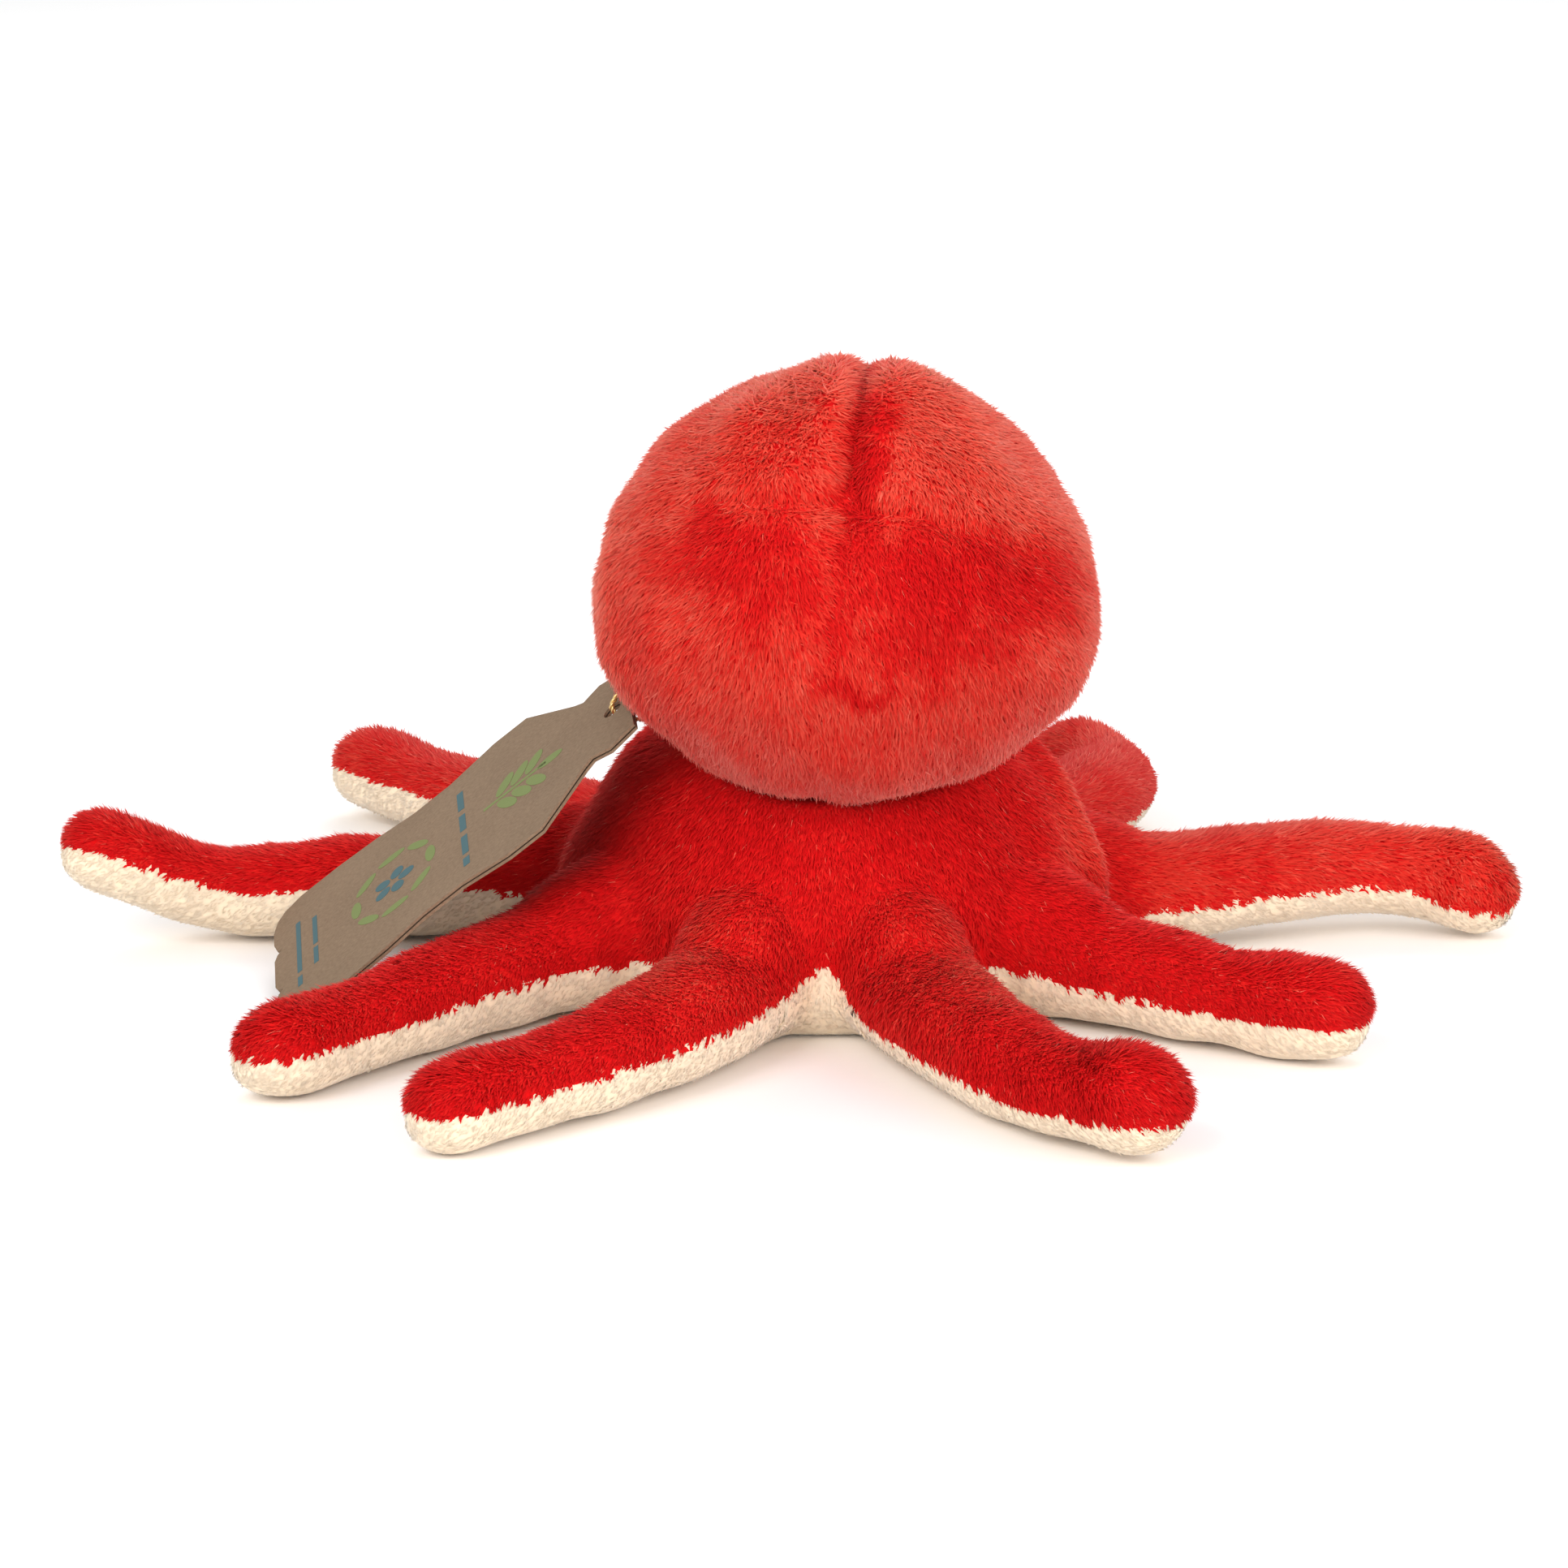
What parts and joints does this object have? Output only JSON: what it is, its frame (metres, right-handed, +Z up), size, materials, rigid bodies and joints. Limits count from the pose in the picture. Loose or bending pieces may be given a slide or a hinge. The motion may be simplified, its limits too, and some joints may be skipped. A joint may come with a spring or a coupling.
{
  "type": "plush octopus toy",
  "caption": "Soft stuffed octopus toy with a round seamed mantle, a wide skirt with curling arms, pale undersides and a folded card tag on a thread",
  "frame": {"origin": "On the floor under the middle of the skirt, in the middle of the flat belly face", "axes": "Z up, Y the way the face looks, X to the toy's right"},
  "size_m": [0.282, 0.2657, 0.121],
  "materials": {
    "red_plush": "long soft pile",
    "cream_velour": "short soft pile",
    "fill_fibre": "loose fibre",
    "pouch_cloth": "plain weave",
    "pellet_plastic": "smooth",
    "eye_plastic": "glossy",
    "washer_plastic": "smooth",
    "kraft_card": "matt card",
    "gold_thread": "twisted metallic thread"
  },
  "bodies": {
    "skirt_body": {"skirt_rear_left": "red_plush", "skirt_rear_right": "red_plush", "skirt_front_left": "red_plush", "skirt_front_right": "red_plush", "belly": "cream_velour", "body_stuffing": "fill_fibre", "bean_pouch": "pouch_cloth", "pellets": "pellet_plastic", "tag_knot": "gold_thread", "tag_thread": "gold_thread"},
    "mantle_body": {"mantle_upper_left": "red_plush", "mantle_upper_right": "red_plush", "mantle_lower_left": "red_plush", "mantle_lower_right": "red_plush", "mantle_stuffing": "fill_fibre", "eye_left": "eye_plastic", "eye_right": "eye_plastic", "eye_washers": "washer_plastic"},
    "tag_body": {"tag_front": "kraft_card", "tag_back": "kraft_card"},
    "arm_a_body": {"arm_a_top": "red_plush", "arm_a_under": "cream_velour", "arm_a_stuffing": "fill_fibre"},
    "arm_b_body": {"arm_b_top": "red_plush", "arm_b_under": "cream_velour", "arm_b_stuffing": "fill_fibre"},
    "arm_c_body": {"arm_c_top": "red_plush", "arm_c_under": "cream_velour", "arm_c_stuffing": "fill_fibre"},
    "arm_d_body": {"arm_d_top": "red_plush", "arm_d_under": "cream_velour", "arm_d_stuffing": "fill_fibre"},
    "arm_e_body": {"arm_e_top": "red_plush", "arm_e_under": "cream_velour", "arm_e_stuffing": "fill_fibre"},
    "arm_f_body": {"arm_f_top": "red_plush", "arm_f_under": "cream_velour", "arm_f_stuffing": "fill_fibre"},
    "arm_g_body": {"arm_g_top": "red_plush", "arm_g_under": "cream_velour", "arm_g_stuffing": "fill_fibre"},
    "arm_h_body": {"arm_h_top": "red_plush", "arm_h_under": "cream_velour", "arm_h_stuffing": "fill_fibre"}
  },
  "joints": [
    {"name": "mantle_nod", "type": "hinge", "parent": "skirt_body", "child": "mantle_body", "pos_m": [0.003, -0.026, 0.081], "axis": [-1, 0, 0], "range_deg": [-12, 20], "stiffness_Nm_per_rad": 0.25},
    {"name": "arm_a_lift", "type": "hinge", "parent": "skirt_body", "child": "arm_a_body", "pos_m": [-0.01561, -0.04803, 0.0218], "axis": [-0.9511, 0.309, 0], "range_deg": [0, 45]},
    {"name": "arm_b_lift", "type": "hinge", "parent": "skirt_body", "child": "arm_b_body", "pos_m": [-0.04329, -0.02601, 0.0218], "axis": [-0.515, 0.8572, 0], "range_deg": [0, 4]},
    {"name": "arm_c_lift", "type": "hinge", "parent": "skirt_body", "child": "arm_c_body", "pos_m": [-0.04745, 0.01727, 0.0218], "axis": [0.342, 0.9397, 0], "range_deg": [0, 60]},
    {"name": "arm_d_lift", "type": "hinge", "parent": "skirt_body", "child": "arm_d_body", "pos_m": [-0.02824, 0.04187, 0.0218], "axis": [0.829, 0.5592, 0], "range_deg": [0, 60]},
    {"name": "arm_e_lift", "type": "hinge", "parent": "skirt_body", "child": "arm_e_body", "pos_m": [0.01392, -0.04854, 0.0218], "axis": [-0.9613, -0.2756, 0], "range_deg": [0, 45]},
    {"name": "arm_f_lift", "type": "hinge", "parent": "skirt_body", "child": "arm_f_body", "pos_m": [0.04086, -0.02968, 0.0218], "axis": [-0.5878, -0.809, 0], "range_deg": [0, 50]},
    {"name": "arm_g_lift", "type": "hinge", "parent": "skirt_body", "child": "arm_g_body", "pos_m": [0.04921, 0.01136, 0.0218], "axis": [0.225, -0.9744, 0], "range_deg": [0, 60]},
    {"name": "arm_h_lift", "type": "hinge", "parent": "skirt_body", "child": "arm_h_body", "pos_m": [0.0275, 0.04235, 0.0218], "axis": [0.8387, -0.5446, 0], "range_deg": [0, 55]},
    {"name": "tag_swing", "type": "hinge", "parent": "skirt_body", "child": "tag_body", "pos_m": [-0.0396, -0.0255, 0.05587], "axis": [-0.0944, 0.9821, 0.1628], "range_deg": [0, 30]}
  ]
}
